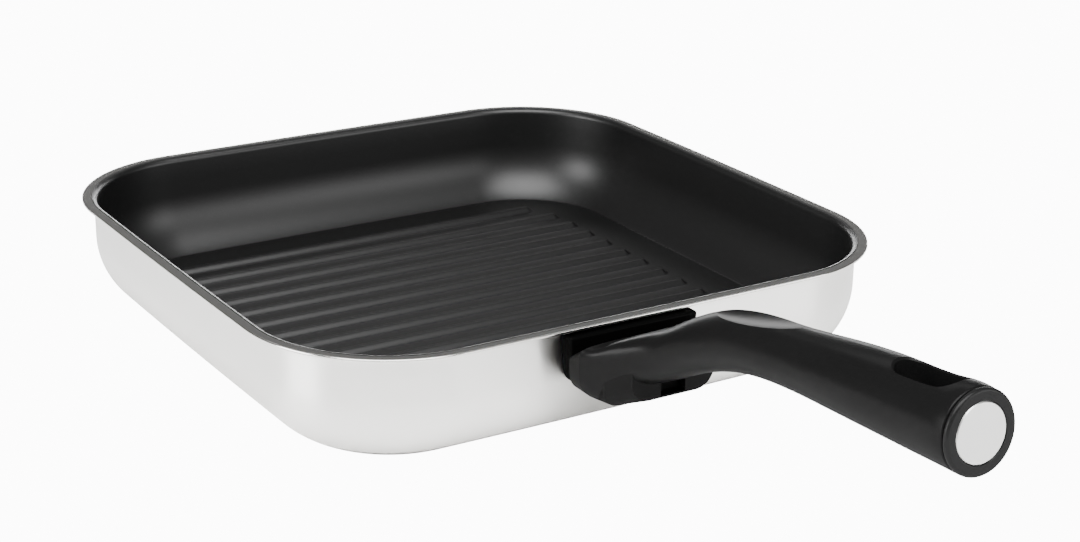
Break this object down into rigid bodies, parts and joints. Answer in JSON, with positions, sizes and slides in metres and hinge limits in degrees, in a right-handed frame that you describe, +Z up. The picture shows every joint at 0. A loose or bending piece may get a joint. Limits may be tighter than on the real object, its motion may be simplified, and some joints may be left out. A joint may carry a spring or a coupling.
{
  "type": "grill pan",
  "caption": "Square ribbed grill pan in polished steel with a dark lining, and a black plug-on handle with a hanging slot and a release button.",
  "frame": {"origin": "centre of the pan's flat underside, on the surface that it stands on", "axes": "+Z up, the handle points along -Y, +X to the right when seen from the handle"},
  "size_m": [0.281, 0.4698, 0.0915],
  "materials": {
    "polished_steel": "polished",
    "core_aluminium": "plain",
    "base_steel": "satin",
    "mount_steel": "plain",
    "screw_steel": "plain",
    "rivet_steel": "satin",
    "spring_steel": "plain",
    "bracket_plastic": "matt",
    "grip_plastic": "satin",
    "latch_plastic": "matt",
    "cap_plastic": "satin",
    "disc_metal": "satin"
  },
  "bodies": {
    "pan": {"pan_body": "polished_steel", "heat_core": "core_aluminium", "base_cap": "base_steel", "mount_tongue": "mount_steel", "bracket_rivets": "rivet_steel", "bracket_housing": "bracket_plastic", "bracket_screws": "screw_steel"},
    "handle": {"grip_body": "grip_plastic", "socket_frame": "mount_steel", "frame_screws": "screw_steel", "handle_tang": "mount_steel", "latch_cover": "latch_plastic", "cover_screws": "screw_steel", "bolt_spring": "spring_steel", "end_cap": "cap_plastic", "end_disc": "disc_metal"},
    "bolt": {"latch_bolt": "mount_steel"},
    "button": {"release_button": "latch_plastic"}
  },
  "joints": [
    {"name": "handle_pull_off", "type": "slide", "parent": "pan", "child": "handle", "axis": [0, -1, 0], "range_m": [0, 0.03]},
    {"name": "button_press", "type": "slide", "parent": "handle", "child": "button", "axis": [0, 1, 0], "range_m": [0, 0.002], "stiffness_N_per_m": 350, "springref_m": -0.003},
    {"name": "bolt_drop", "type": "slide", "parent": "handle", "child": "bolt", "axis": [0, 0, -1], "range_m": [0, 0.002], "deforming": ["bolt_spring"]}
  ],
  "couplings": [
    {"joint": "bolt_drop", "follows": "button_press", "ratio": 1}
  ]
}
